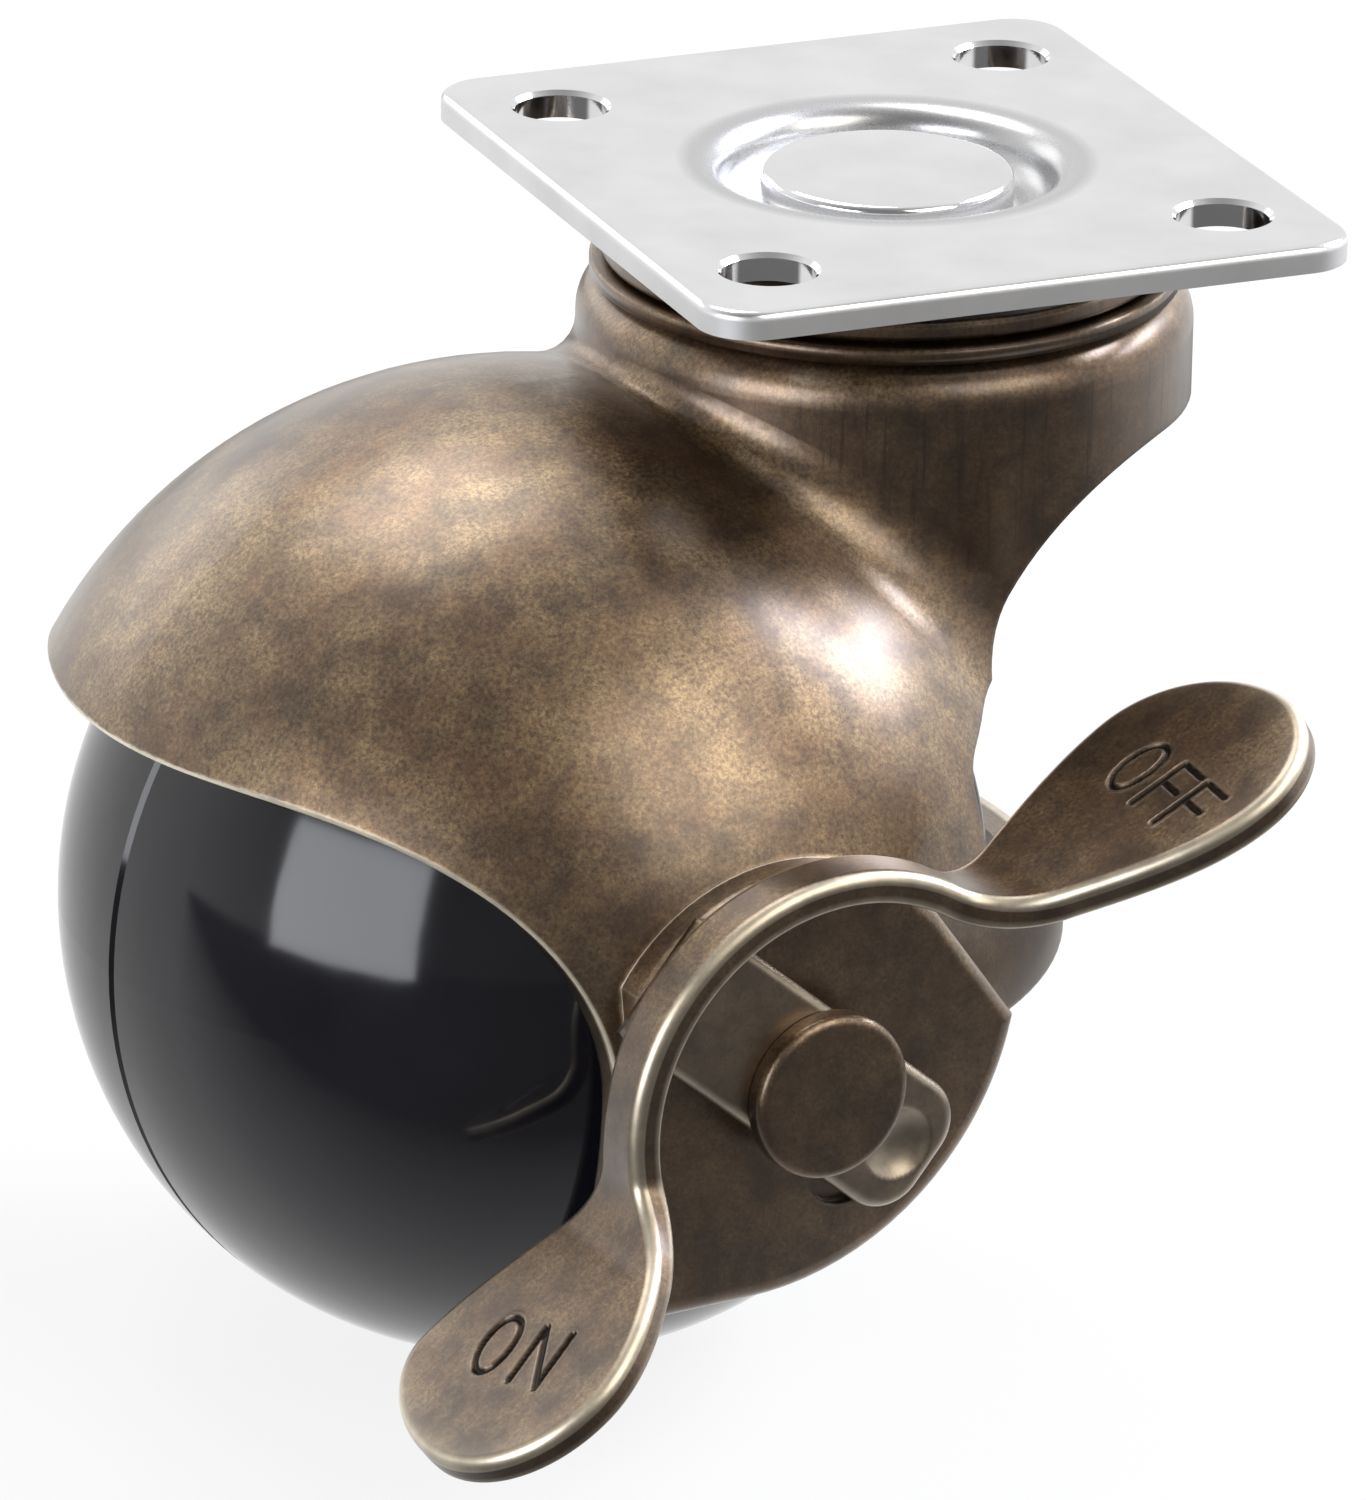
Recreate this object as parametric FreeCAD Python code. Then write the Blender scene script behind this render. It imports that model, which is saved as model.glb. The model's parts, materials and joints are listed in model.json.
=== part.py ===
import FreeCAD, Part
import os
from math import atan2, cos, hypot, pi, radians, sin, sqrt

V = FreeCAD.Vector

# Ball castor with a brake lever, in millimetres.
# The origin is the centre of the plate's mounting face, on the swivel axis, with +Z up.
# The plate's sides run along X and Y. The hood, ball and lever are built heading along +X
# with the axle along Y, and are then turned about the swivel axis to their rest heading.

# Overall layout
axle_drop = 38.0          # axle below the mounting face
trail = 21.9              # axle in front of the swivel axis
rest_heading = 7.8        # degrees, hood turned from the plate's X side
ball_radius = 25.0

# Clearances
running = 0.08            # radial, shafts and pins in their holes
rolling = 0.15            # swivel balls in their grooves
end_float = 0.1           # along the axle
lever_float = 0.05        # lever between its washer and the axle's head
brake_gap = 0.15          # lever to plunger, and pad to ball

# Top plate and its pressed recess
plate_x = 36.8
plate_y = 41.8
plate_sheet = 1.5
plate_corner = 3.0
plate_edge_round = 0.5
hole_spacing_x = 26.0
hole_spacing_y = 29.0
hole_radius = 2.5
hole_chamfer = 0.25
recess_radius = 10.4
recess_floor_radius = 7.4
recess_depth = 2.5

# King pin
pin_radius = 4.0
pin_head_radius = 6.8
pin_head_edge = 2.05
pin_head_crown = 0.3
pin_head_round = 0.45
pin_tail_radius = 5.6
pin_tail = 1.6

# Swivel races and balls
collar_radius = 15.3
collar_thickness = 1.1
collar_round = 0.35
race_gap = 1.0            # between the two race faces
swivel_ball = 1.2         # ball radius
upper_circle = 10.8
lower_circle = 8.6
upper_count = 20
lower_count = 16
lower_washer_radius = 11.4
lower_washer_thickness = 1.5

# Hood
hood_wall = 2.0
hood_gap = 2.0            # inside of the dome to the ball
neck_radius = 16.6
neck_shoulder = 2.4
neck_wall = 2.8
neck_web = 4.0
blend_front = 1.0         # neck to dome, on the middle plane
blend_side = 9.0          # neck to dome, at the neck's flank
rim_height = 13.6         # front rim above the axle
rim_curve = 14.4          # side arc of the front trim
rim_round = 0.3
cheek_front = 9.8         # cheek's front edge ahead of the axle
cheek_bottom = 12.2       # cheek's lower edge below the axle
cheek_corner = 1.5
belt_top = 5.0            # rear band round the ball, above the axle
belt_bottom = 1.0         # and below it
window_front = 14.2       # front edge of the rear window, behind the axle
window_corner = 12.2      # top of that edge, above the axle
window_round = 2.0
rear_curve = 13.5         # arc from the window up to the back of the neck
rear_curve_back = 31.5    # its centre, behind the axle
rear_curve_start = 12.0   # degrees, where it meets the window's top
neck_rear = 25.5          # lower edge of the neck at the back, above the axle

# Cheek pads
pad_proud = 0.2           # pad's face beyond the dome's side
pad_round = 1.0
pad_top_radius = 11.2     # round the axle
pad_rear_radius = 16.1    # lower rear curve
pad_rear_ahead = 2.6      # and its centre, ahead of the axle
pad_rear_corner = 0.8     # rear corner above the axle
pad_ledge = 0.3           # dome's edge beyond the pad's, in front and below
pad_shoulder = 7.4        # end of the rear edge, above the axle
boss_gap = 1.5            # ball's pole to the inside of the cheek
spot_face_land = 1.0      # cheek left in front of the spot face, inside

# Ball
pole_flat = 0.5           # cut off each pole
ball_wall = 3.0
hub_radius = 7.0
rib_thickness = 1.8
rib_count = 6
seam_chamfer = 0.3
lip_thickness = 1.3
lip_length = 1.5
lip_gap = 0.1
rib_sink = 0.5            # ribs and hub into the shell's wall
bush_radius = 4.5
bush_length = 10.0
bush_stand = 0.25         # bush beyond the pole

# Axle and washers
axle_radius = 3.0
axle_head_radius = 4.5
axle_head = 1.2
axle_head_round = 0.5
lever_washer_thickness = 0.4
washer_gap = 0.2          # washers to the plunger and to the lever's dimple

# Brake lever, a stamped strip; angles in degrees from forward, turning up
lever_sheet = 1.7
lever_round = 0.5         # edges of the outer faces, tumbled round
strip_width = 3.4
strip_stand = 0.75        # strip's inner edge beyond the spoke's inner face
arch_radius = 11.9        # middle of the sheet
lever_bend = 3.0          # middle of the sheet
on_leave = -12.0          # where the strip leaves the arch
on_direction = -38.0
on_neck = 8.6             # end of the bend to the paddle's centre
on_offset = 2.9           # paddle's centre outward from the strip's middle
on_radius = 7.6
off_leave = 129.0
off_direction = 150.0
off_neck = 9.6
off_offset = 2.5
off_radius = 7.8
flare_lead = 5.0          # degrees of the bend before the strip flares into the paddle
spoke_angle = 40.0
spoke_width = 7.5
tail_centre = 5.25        # rounded end of the tail, from the axle
lever_throw = 24.0        # on to off

# Brake plunger, under the dimple in the lever's tail
dimple_offset = 6.0       # from the axle
dimple_radius = 2.0
dimple_depth = 0.75
plunger_radius = 1.3
plunger_crown = 3.0       # its round head's curve
plunger_head = 0.75       # and that head's height
rubber_thickness = 1.0
spring_seat = 1.1         # cheek left under the spring
spring_sheet = 0.2
bump_room = 0.3           # groove round the dimple's path

# Heights on the swivel axis
plate_under = -plate_sheet
recess_floor = -recess_depth
collar_top = recess_floor - plate_sheet
collar_under = collar_top - collar_thickness
neck_top = collar_under - race_gap
web_under = neck_top - neck_web
washer_top = web_under - race_gap
washer_under = washer_top - lower_washer_thickness
upper_ball_height = (collar_under + neck_top) / 2
lower_ball_height = (web_under + washer_top) / 2

# Distances along the axle from the ball's middle
ball_pole = ball_radius - pole_flat
hood_inside = ball_radius + hood_gap
hood_outside = hood_inside + hood_wall
boss_face = ball_pole + bush_stand + boss_gap
pad_face = hood_outside + pad_proud
lever_inner = pad_face + lever_washer_thickness + lever_float
lever_outer = lever_inner + lever_sheet
head_seat = lever_outer + lever_float
strip_inner = lever_inner + strip_stand
strip_middle = strip_inner + strip_width / 2
plunger_top = lever_inner - dimple_depth - brake_gap
plunger_head_radius = sqrt(plunger_crown ** 2 - (plunger_crown - plunger_head) ** 2)

ball_centre = V(trail, 0, -axle_drop)
dimple_angle = spoke_angle + 180
washer_radius = dimple_offset - plunger_radius - washer_gap
lever_washer_radius = dimple_offset - dimple_radius - washer_gap
seam_turn = 90.0          # degrees about the axle, keeps the spheres' seam lines off the neck
same_place = 0.01         # how close counts as the same place
reach = 200.0             # longer than the whole castor, for cuts that go right through


def line(start, end):
    return Part.LineSegment(start, end).toShape()


def arc(start, middle, end):
    return Part.Arc(start, middle, end).toShape()


def side(ahead, above, along=0.0):
    """A point ahead of the axle, above it, and along it from the ball's middle."""
    return V(trail + ahead, along, above - axle_drop)


def polar(radius, angle, centre=(0.0, 0.0)):
    """Ahead and above for a radius and an angle in degrees about a centre in the side view."""
    return centre[0] + radius * cos(radians(angle)), centre[1] + radius * sin(radians(angle))


def side_arc(centre, radius, start, end):
    """An arc in the side view, between two angles in degrees."""
    points = [side(*polar(radius, angle, centre)) for angle in (start, (start + end) / 2, end)]
    return arc(*points)


def prism(edges, low, high):
    """A closed side-view outline, carried along the axle from low to high."""
    face = Part.Face(Part.Wire(edges))
    face.translate(V(0, low, 0))
    return face.extrude(V(0, high - low, 0))


def on_axle(radius, low, high, ahead=0.0, above=0.0):
    """A cylinder along the axle's direction, between two distances from the ball's middle."""
    return Part.makeCylinder(radius, high - low, side(ahead, above, low), V(0, 1, 0))


def upright(radius, low, high):
    """A cylinder on the swivel axis, between two heights."""
    return Part.makeCylinder(radius, high - low, V(0, 0, low), V(0, 0, 1))


def ball_at_pole(radius):
    """A sphere about the ball's centre, with its poles on the axle."""
    ball = Part.makeSphere(radius, ball_centre, V(0, 1, 0))
    ball.rotate(ball_centre, V(0, 1, 0), seam_turn)
    return ball


def rim_edges(shape, at):
    """The edges of a shape that lie wholly where the test holds."""
    edges = [edge for edge in shape.Edges if not edge.Degenerated]
    return [edge for edge in edges if all(at(point) for point in edge.discretize(5))]


def near(value, target):
    return abs(value - target) < same_place


def ball_ring(radius, height, count):
    """A ring of swivel balls at one height."""
    centres = [V(radius * cos(2 * pi * i / count), radius * sin(2 * pi * i / count), height)
               for i in range(count)]
    return Part.makeCompound([Part.makeSphere(swivel_ball, centre) for centre in centres])


def ball_groove(radius, height):
    return Part.makeTorus(radius, swivel_ball + rolling, V(0, 0, height), V(0, 0, 1))


def make_top_plate():
    blank = Part.makeBox(plate_x, plate_y, plate_sheet, V(-plate_x / 2, -plate_y / 2, plate_under))
    corners = rim_edges(blank, lambda p: near(abs(p.x), plate_x / 2) and near(abs(p.y), plate_y / 2))
    blank = blank.makeFillet(plate_corner, corners)
    blank = blank.makeFillet(plate_edge_round, rim_edges(blank, lambda p: near(p.z, 0)))
    bulge_floor_radius = recess_radius - recess_depth
    bulge_middle = recess_depth * sqrt(0.5)
    bulge = Part.Face(Part.Wire([
        line(V(0, 0, plate_under), V(0, 0, collar_top)),
        line(V(0, 0, collar_top), V(bulge_floor_radius, 0, collar_top)),
        arc(V(bulge_floor_radius, 0, collar_top),
            V(bulge_floor_radius + bulge_middle, 0, plate_under - bulge_middle),
            V(recess_radius, 0, plate_under)),
        line(V(recess_radius, 0, plate_under), V(0, 0, plate_under))]))
    plate = blank.fuse(bulge.revolve(V(0, 0, 0), V(0, 0, 1), 360))
    # The recess's wall is two equal arcs, convex at the lip and hollow at the floor.
    run = recess_radius - recess_floor_radius
    turn = 2 * atan2(recess_depth, run)
    curve = run / (2 * sin(turn))
    lip_middle = V(recess_radius - curve * sin(turn / 2), 0, -curve * (1 - cos(turn / 2)))
    half_way = V(recess_radius - run / 2, 0, -recess_depth / 2)
    floor_middle = V(recess_floor_radius + curve * sin(turn / 2), 0,
                     recess_floor + curve * (1 - cos(turn / 2)))
    recess = Part.Face(Part.Wire([
        line(V(0, 0, 0), V(recess_radius, 0, 0)),
        arc(V(recess_radius, 0, 0), lip_middle, half_way),
        arc(half_way, floor_middle, V(recess_floor_radius, 0, recess_floor)),
        line(V(recess_floor_radius, 0, recess_floor), V(0, 0, recess_floor)),
        line(V(0, 0, recess_floor), V(0, 0, 0))]))
    plate = plate.cut(recess.revolve(V(0, 0, 0), V(0, 0, 1), 360))
    plate = plate.cut(upright(pin_radius, -reach, reach))
    for x in (-hole_spacing_x / 2, hole_spacing_x / 2):
        for y in (-hole_spacing_y / 2, hole_spacing_y / 2):
            hole = Part.makeCylinder(hole_radius, plate_sheet, V(x, y, plate_under))
            mouth = Part.makeCone(hole_radius, hole_radius + hole_chamfer, hole_chamfer,
                                  V(x, y, -hole_chamfer))
            plate = plate.cut(hole.fuse(mouth))
    return plate.removeSplitter()


def make_king_pin():
    head_edge_top = recess_floor + pin_head_edge
    flat = pin_head_radius - pin_head_round
    corner = pin_head_round * sqrt(0.5)
    crown_top = head_edge_top + pin_head_crown
    crown_sphere = (flat ** 2 + pin_head_crown ** 2) / (2 * pin_head_crown)
    crown_turn = atan2(flat, crown_sphere - pin_head_crown)
    tail_end = washer_under - pin_tail
    tail_flat = pin_tail_radius - pin_head_round
    profile = Part.Face(Part.Wire([
        line(V(0, 0, tail_end), V(tail_flat, 0, tail_end)),
        line(V(tail_flat, 0, tail_end), V(pin_tail_radius, 0, tail_end + pin_head_round)),
        line(V(pin_tail_radius, 0, tail_end + pin_head_round), V(pin_tail_radius, 0, washer_under)),
        line(V(pin_tail_radius, 0, washer_under), V(pin_radius, 0, washer_under)),
        line(V(pin_radius, 0, washer_under), V(pin_radius, 0, recess_floor)),
        line(V(pin_radius, 0, recess_floor), V(pin_head_radius, 0, recess_floor)),
        line(V(pin_head_radius, 0, recess_floor), V(pin_head_radius, 0, head_edge_top - pin_head_round)),
        arc(V(pin_head_radius, 0, head_edge_top - pin_head_round),
            V(flat + corner, 0, head_edge_top - pin_head_round + corner),
            V(flat, 0, head_edge_top)),
        arc(V(flat, 0, head_edge_top),
            V(crown_sphere * sin(crown_turn / 2), 0, crown_top - crown_sphere * (1 - cos(crown_turn / 2))),
            V(0, 0, crown_top)),
        line(V(0, 0, crown_top), V(0, 0, tail_end))]))
    return profile.revolve(V(0, 0, 0), V(0, 0, 1), 360)


def make_swivel_collar():
    collar = upright(collar_radius, collar_under, collar_top)
    collar = collar.makeFillet(collar_round, [edge for edge in collar.Edges if edge.Closed])
    collar = collar.cut(upright(pin_radius, -reach, reach))
    return collar.cut(ball_groove(upper_circle, upper_ball_height))


def make_lower_race_washer():
    washer = upright(lower_washer_radius, washer_under, washer_top).cut(upright(pin_radius, -reach, reach))
    return washer.cut(ball_groove(lower_circle, lower_ball_height))


def cheek_pad():
    """The flat pad on the near cheek: round the axle above, straight in front, curved at the lower rear."""
    curve_centre = (pad_rear_ahead, pad_rear_radius - cheek_bottom)
    rear_drop = curve_centre[1] - pad_rear_corner
    rear_corner = (pad_rear_ahead - sqrt(pad_rear_radius ** 2 - rear_drop ** 2), pad_rear_corner)
    shoulder = (-sqrt(pad_top_radius ** 2 - pad_shoulder ** 2), pad_shoulder)
    front = cheek_front - pad_ledge
    front_top = (front, sqrt(pad_top_radius ** 2 - front ** 2))
    rear_angle = 180 + atan2(rear_drop, pad_rear_ahead - rear_corner[0]) * 180 / pi
    outline = [
        line(side(front, -cheek_bottom), side(pad_rear_ahead, -cheek_bottom)),
        side_arc(curve_centre, pad_rear_radius, 270, rear_angle),
        line(side(*rear_corner), side(*shoulder)),
        arc(side(*shoulder), side(0, pad_top_radius), side(*front_top)),
        line(side(*front_top), side(front, -cheek_bottom))]
    pad = prism(outline, ball_radius - hood_gap, pad_face)
    corner = side(front, -cheek_bottom)
    front_corner = rim_edges(pad, lambda p: near(p.x, corner.x) and near(p.z, corner.z))
    pad = pad.makeFillet(cheek_corner, front_corner)
    return pad.makeFillet(pad_round, rim_edges(pad, lambda p: near(p.y, pad_face)))


def hood_body():
    """The outside of the hood, made as the near half with its hollow blend, then mirrored."""
    neck = upright(neck_radius, belt_top - axle_drop, neck_top)
    neck = neck.makeFillet(neck_shoulder, rim_edges(neck, lambda p: near(p.z, neck_top)
                                                    and near(hypot(p.x, p.y), neck_radius)))
    near_side = Part.makeBox(reach, reach, reach, V(-reach / 2, 0, -reach / 2))
    half = ball_at_pole(hood_outside).fuse(neck).common(near_side)
    valley = rim_edges(half, lambda p: near(hypot(p.x, p.y), neck_radius)
                       and near((p - ball_centre).Length, hood_outside))
    first = valley[0].valueAt(valley[0].FirstParameter)
    radii = (blend_front, blend_side) if abs(first.y) < 0.01 else (blend_side, blend_front)
    half = half.makeFillet(radii[0], radii[1], valley)
    half = half.fuse(cheek_pad())
    return half.fuse(half.mirror(V(0, 0, 0), V(0, 1, 0)))


def make_hood():
    hood = hood_body()
    neck_inside = neck_radius - neck_wall
    slab = Part.makeBox(reach, 2 * boss_face, reach, V(-reach / 2, -boss_face, -reach / 2))
    inside = ball_at_pole(hood_inside).common(slab)
    inside = inside.fuse(upright(neck_inside, -axle_drop, web_under))
    spot_face = on_axle(cheek_front - spot_face_land, -boss_face, boss_face)
    hood = hood.cut(inside).cut(spot_face)
    # Front opening: level under the rim, then an arc down to the cheek's straight edge.
    arc_centre = (cheek_front + rim_curve, rim_height - rim_curve)
    opening = prism([
        side_arc(arc_centre, rim_curve, 90, 180),
        line(side(cheek_front, arc_centre[1]), side(cheek_front, -reach)),
        line(side(cheek_front, -reach), side(reach, -reach)),
        line(side(reach, -reach), side(reach, rim_height)),
        line(side(reach, rim_height), side(arc_centre[0], rim_height))], -reach, reach)
    # Underside: the cheek pads' lower edge in front, the band's lower edge behind.
    curve_height = pad_rear_radius - cheek_bottom
    rear_arc = pad_rear_radius + pad_ledge
    bottom = -cheek_bottom - pad_ledge
    belt_drop = curve_height + belt_bottom
    belt_start = pad_rear_ahead - sqrt(rear_arc ** 2 - belt_drop ** 2)
    belt_angle = 180 + atan2(belt_drop, pad_rear_ahead - belt_start) * 180 / pi
    underside = prism([
        line(side(reach, bottom), side(pad_rear_ahead, bottom)),
        side_arc((pad_rear_ahead, curve_height), rear_arc, 270, belt_angle),
        line(side(belt_start, -belt_bottom), side(-reach, -belt_bottom)),
        line(side(-reach, -belt_bottom), side(-reach, -reach)),
        line(side(-reach, -reach), side(reach, -reach)),
        line(side(reach, -reach), side(reach, bottom))], -reach, reach)
    # Rear window, between the band and the curve up to the back of the neck.
    curve_centre = (-rear_curve_back, neck_rear - rear_curve)
    knee = polar(rear_curve, rear_curve_start, curve_centre)
    window = prism([
        line(side(-window_front, belt_top), side(-window_front, window_corner)),
        line(side(-window_front, window_corner), side(*knee)),
        side_arc(curve_centre, rear_curve, rear_curve_start, 90),
        line(side(-rear_curve_back, neck_rear), side(-reach, neck_rear)),
        line(side(-reach, neck_rear), side(-reach, belt_top)),
        line(side(-reach, belt_top), side(-window_front, belt_top))], -reach, reach)
    corners = rim_edges(window, lambda p: near(p.x, trail - window_front)
                        and (near(p.z, belt_top - axle_drop) or near(p.z, window_corner - axle_drop)))
    window = window.makeFillet(window_round, corners)
    hood = hood.cut(opening).cut(underside).cut(window)

    def on_front_rim(point):
        ahead = point.x - trail
        above = point.z + axle_drop
        level = near(above, rim_height) and ahead > arc_centre[0] - same_place
        curve = near(hypot(ahead - arc_centre[0], above - arc_centre[1]), rim_curve)
        cheek = near(ahead, cheek_front) and above < arc_centre[1] + same_place
        from_centre = (point - ball_centre).Length
        on_wall = near(from_centre, hood_outside) or near(from_centre, hood_inside)
        return on_wall and (level or curve or cheek)

    hood = hood.makeFillet(rim_round, rim_edges(hood, on_front_rim))
    hood = hood.cut(upright(pin_radius + running, -axle_drop, reach))
    hood = hood.cut(ball_groove(upper_circle, upper_ball_height))
    hood = hood.cut(ball_groove(lower_circle, lower_ball_height))
    hood = hood.cut(on_axle(axle_radius, -reach, reach))
    # Brake: the plunger's hole, its spring seat, and the groove that the dimple sweeps.
    ahead, above = polar(dimple_offset, dimple_angle)
    hood = hood.cut(on_axle(plunger_radius + running, 0, reach, ahead, above))
    hood = hood.cut(on_axle(plunger_head_radius + bump_room, boss_face + spring_seat, reach, ahead, above))
    groove_floor = lever_inner - dimple_depth - bump_room
    half_groove = dimple_radius + bump_room
    sweep_end = dimple_angle + lever_throw
    groove = prism([
        side_arc((0, 0), dimple_offset + half_groove, dimple_angle, sweep_end),
        line(side(*polar(dimple_offset + half_groove, sweep_end)),
             side(*polar(dimple_offset - half_groove, sweep_end))),
        side_arc((0, 0), dimple_offset - half_groove, sweep_end, dimple_angle),
        line(side(*polar(dimple_offset - half_groove, dimple_angle)),
             side(*polar(dimple_offset + half_groove, dimple_angle)))], groove_floor, reach)
    for angle in (dimple_angle, sweep_end):
        groove = groove.fuse(on_axle(half_groove, groove_floor, reach, *polar(dimple_offset, angle)))
    return hood.cut(groove).removeSplitter()


def make_axle():
    shank = on_axle(axle_radius, -pad_face - axle_head, head_seat + axle_head)
    near_head = on_axle(axle_head_radius, head_seat, head_seat + axle_head)
    near_head = near_head.makeFillet(axle_head_round, rim_edges(
        near_head, lambda p: near(p.y, head_seat + axle_head)
        and near(hypot(p.x - trail, p.z + axle_drop), axle_head_radius)))
    far_head = on_axle(axle_head_radius, -pad_face - axle_head, -pad_face)
    far_head = far_head.makeFillet(axle_head_round, rim_edges(
        far_head, lambda p: near(p.y, -pad_face - axle_head)
        and near(hypot(p.x - trail, p.z + axle_drop), axle_head_radius)))
    return shank.fuse(near_head).fuse(far_head).removeSplitter()


def axle_ring(outer, inner, low, high):
    return on_axle(outer, low, high).cut(on_axle(inner, low, high))


def make_ball_half(sign):
    """One moulded half: a shell with a hub, ribs and a stepped lip at the seam."""
    half_space = on_axle(reach, 0, ball_pole) if sign > 0 else on_axle(reach, -ball_pole, 0)
    shell = ball_at_pole(ball_radius).common(half_space)
    shell = shell.makeChamfer(seam_chamfer, rim_edges(shell, lambda p: near(p.y, 0)
                                                      and near((p - ball_centre).Length, ball_radius)))
    hollow_radius = ball_radius - ball_wall
    half = shell.cut(ball_at_pole(hollow_radius))
    inner = ball_at_pole(hollow_radius + rib_sink).common(half_space)
    core = on_axle(hub_radius, 0, ball_pole) if sign > 0 else on_axle(hub_radius, -ball_pole, 0)
    for i in range(rib_count):
        rib = Part.makeBox(hollow_radius, reach, rib_thickness, V(0, -reach / 2, -rib_thickness / 2))
        rib.rotate(V(0, 0, 0), V(0, 1, 0), 360.0 * i / rib_count)
        rib.translate(ball_centre)
        core = core.fuse(rib)
    half = half.fuse(core.common(inner))
    lip_radius = hollow_radius + lip_thickness
    if sign > 0:
        half = half.fuse(axle_ring(lip_radius, hollow_radius, -lip_length, 0))
    else:
        half = half.cut(axle_ring(lip_radius + lip_gap, hollow_radius - lip_gap, -lip_length - lip_gap, 0))
    return half.cut(on_axle(bush_radius, -reach, reach)).removeSplitter()


def paddle_wing(leave, direction, neck, offset, radius, sense):
    """The bend out of the arch and the spoon paddle: a side profile cut to the paddle's outline."""
    bend_centre = polar(arch_radius + lever_bend, leave)
    start = leave + 180
    end = direction - sense * 90
    end = end + 360 * round((start - end) / 360)
    inside = lever_bend - lever_sheet / 2
    outside = lever_bend + lever_sheet / 2
    along = polar(neck + radius + lever_sheet, direction)
    outer_end = polar(outside, end, bend_centre)
    inner_end = polar(inside, end, bend_centre)
    outer_tip = (outer_end[0] + along[0], outer_end[1] + along[1])
    inner_tip = (inner_end[0] + along[0], inner_end[1] + along[1])
    widest = radius + offset + lever_sheet
    profile = prism([
        side_arc(bend_centre, outside, start, end),
        line(side(*outer_end), side(*outer_tip)),
        line(side(*outer_tip), side(*inner_tip)),
        line(side(*inner_tip), side(*inner_end)),
        side_arc(bend_centre, inside, end, start),
        line(side(*polar(inside, start, bend_centre)), side(*polar(outside, start, bend_centre)))],
        strip_middle - widest, strip_middle + widest)
    # Outline in the paddle's plane: a hollow flare out of each side of the strip, tangent to the round end.
    # Both flares start a little way into the bend, which gives each its curve.
    half_width = strip_width / 2
    origin = polar(lever_bend, end, bend_centre)
    step = polar(1.0, direction)
    flare_run = neck + inside * sin(radians(abs(end - start) - flare_lead))

    def flat(forward, across):
        return side(origin[0] + forward * step[0], origin[1] + forward * step[1], strip_middle + across)

    def flare(hand):
        """The start, middle and end of the flare on one side of the strip."""
        inset = half_width - hand * offset
        curve = (flare_run ** 2 - radius ** 2 + inset ** 2) / (2 * (radius - inset))
        turn = atan2(flare_run, inset + curve)
        turns = [0, turn / 2, turn]
        return [flat(neck - flare_run + curve * sin(angle), hand * (half_width + curve * (1 - cos(angle))))
                for angle in turns]

    outer = flare(1)
    inner = flare(-1)
    back = neck - flare_run - lever_bend
    outline = Part.Wire([
        line(flat(back, -half_width), flat(back, half_width)),
        line(flat(back, half_width), outer[0]),
        arc(*outer),
        arc(outer[2], flat(neck + radius, offset), inner[2]),
        arc(*reversed(inner)),
        line(inner[0], flat(back, -half_width))])
    normal = side(*polar(1.0, end)) - side(0, 0)
    depth = 2 * (lever_bend + lever_sheet)
    face = Part.Face(outline)
    face.translate(normal * -depth)
    return profile.common(face.extrude(normal * (2 * depth)))


def faces_out(face):
    """Whether a face of the lever's strip is on the side away from the axle."""
    u_low, u_high, v_low, v_high = face.ParameterRange
    u = (u_low + u_high) / 2
    v = (v_low + v_high) / 2
    from_axle = face.valueAt(u, v) - ball_centre
    normal = face.normalAt(u, v)
    return near(normal.y, 0) and normal.dot(V(from_axle.x, 0, from_axle.z)) > 0


def outline_edges(faces):
    """The edges round a run of smooth faces: those that bound just one of them."""
    edges = [edge for face in faces for edge in face.Edges]
    return [edge for edge in edges if sum(edge.isSame(other) for other in edges) == 1]


def make_brake_lever():
    inside = arch_radius - lever_sheet / 2
    outside = arch_radius + lever_sheet / 2
    arch = prism([
        side_arc((0, 0), outside, on_leave, off_leave),
        line(side(*polar(outside, off_leave)), side(*polar(inside, off_leave))),
        side_arc((0, 0), inside, off_leave, on_leave),
        line(side(*polar(inside, on_leave)), side(*polar(outside, on_leave)))],
        strip_inner, strip_inner + strip_width)
    on_wing = paddle_wing(on_leave, on_direction, on_neck, on_offset, on_radius, 1)
    off_wing = paddle_wing(off_leave, off_direction, off_neck, off_offset, off_radius, -1)
    spoke = Part.makeBox(tail_centre + arch_radius, lever_sheet, spoke_width,
                         V(-tail_centre, 0, -spoke_width / 2))
    spoke.rotate(V(0, 0, 0), V(0, 1, 0), -spoke_angle)
    spoke.translate(side(0, 0, lever_inner))
    tail = on_axle(spoke_width / 2, lever_inner, lever_outer, *polar(tail_centre, dimple_angle))
    strip = arch.fuse([on_wing, off_wing]).removeSplitter()
    strip = strip.makeFillet(lever_round, outline_edges([face for face in strip.Faces if faces_out(face)]))
    spoke = spoke.fuse(tail).removeSplitter()
    spoke = spoke.makeFillet(lever_round, rim_edges(spoke, lambda p: near(p.y, lever_outer)))
    lever = strip.fuse(spoke).removeSplitter()
    # The dimple is pressed in from outside and stands out as a bump inside.
    press_radius = (dimple_radius ** 2 + dimple_depth ** 2) / (2 * dimple_depth)
    ahead, above = polar(dimple_offset, dimple_angle)
    sink = press_radius - dimple_depth
    bump = Part.makeSphere(press_radius, side(ahead, above, lever_inner + sink), V(0, 1, 0))
    bump = bump.common(on_axle(dimple_radius * 2, 0, lever_inner + lever_float, ahead, above))
    hollow = Part.makeSphere(press_radius, side(ahead, above, lever_outer + sink), V(0, 1, 0))
    lever = lever.fuse(bump).cut(hollow)
    return lever.cut(on_axle(axle_radius + running, 0, reach)).removeSplitter()


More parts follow.
